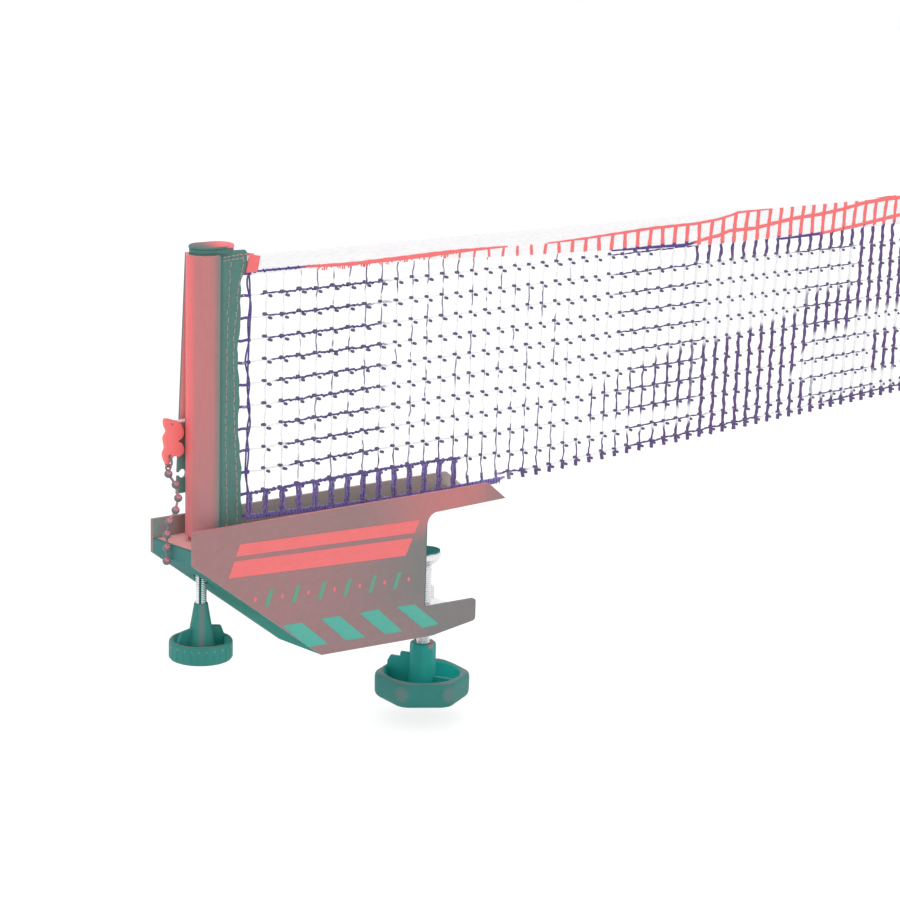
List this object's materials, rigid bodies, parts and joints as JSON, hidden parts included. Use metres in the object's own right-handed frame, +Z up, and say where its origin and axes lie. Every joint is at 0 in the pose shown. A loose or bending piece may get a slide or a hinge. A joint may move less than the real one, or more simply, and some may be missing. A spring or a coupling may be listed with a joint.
{
  "type": "table tennis net clamp",
  "caption": "Sheet metal net clamp with a table edge throat, screw knob from below, height-adjustable net post with sleeve, cord clip and chain, and a stretch of mesh net.",
  "frame": {"origin": "point where the clamp screw's axis meets the seat that rests on the table top", "axes": "+X along the net towards the other post, +Y across the net away from the striped side, +Z up"},
  "size_m": [0.6761, 0.0548, 0.2752],
  "materials": {
    "frame": "satin",
    "steel": "polished",
    "felt": "matt",
    "rubber": "matt",
    "knob": "satin",
    "cap": "gloss",
    "sleeve": "woven",
    "mesh": "knotted twine",
    "tape": "woven",
    "band": "woven",
    "clip": "gloss",
    "cord": "braided",
    "beads": "polished"
  },
  "bodies": {
    "clamp": {"front_cheek": "frame", "rear_cheek": "frame", "end_strip": "frame", "post_floor": "frame", "post_guide": "steel", "height_nut": "steel", "jaw_angle": "frame", "seat_liner": "felt", "edge_liner": "rubber", "lower_jaw_plate": "frame", "clamp_nut": "steel"},
    "pressure_pad": {"pressure_foot": "steel", "foot_facing": "rubber"},
    "clamp_spindle": {"clamp_screw": "steel", "clamp_knob": "knob"},
    "height_spindle": {"height_screw": "steel", "screw_ring": "steel", "height_knob": "knob"},
    "post": {"post_shell": "frame", "back_plate": "frame", "thrust_plate": "steel", "post_cap": "cap", "net_rod": "steel", "net_sleeve": "sleeve", "net_mesh": "mesh", "top_tape": "tape", "corner_band": "band", "far_hem": "band", "tension_cord": "cord"},
    "clip": {"cord_clip": "clip"},
    "chain": {"chain_ring": "steel", "bead_chain": "beads"}
  },
  "joints": [
    {"name": "jaw_travel", "type": "slide", "parent": "clamp", "child": "pressure_pad", "axis": [0, 0, 1], "range_m": [-0.015, 0.01375]},
    {"name": "clamp_screw_turn", "type": "hinge", "parent": "pressure_pad", "child": "clamp_spindle", "pos_m": [0, 0, -0.06], "axis": [0, 0, 1], "range_deg": [-4320, 3960]},
    {"name": "post_height", "type": "slide", "parent": "clamp", "child": "post", "axis": [0, 0, 1], "range_m": [-0.0021, 0.0081]},
    {"name": "height_screw_turn", "type": "hinge", "parent": "post", "child": "height_spindle", "pos_m": [-0.1603, 0, 0.02], "axis": [0, 0, 1], "range_deg": [-720, 2880]},
    {"name": "clip_swing", "type": "hinge", "parent": "post", "child": "clip", "pos_m": [-0.1752, 0.006, 0.0684], "axis": [0, 1, 0], "range_deg": [0, 35]},
    {"name": "chain_swing", "type": "hinge", "parent": "clip", "child": "chain", "pos_m": [-0.177, 0.006, 0.051], "axis": [0, 1, 0], "range_deg": [0, 60]}
  ],
  "couplings": [
    {"joint": "jaw_travel", "follows": "clamp_screw_turn", "m_per_rad": 0.00019894},
    {"joint": "post_height", "follows": "height_screw_turn", "m_per_rad": 0.00015915}
  ]
}
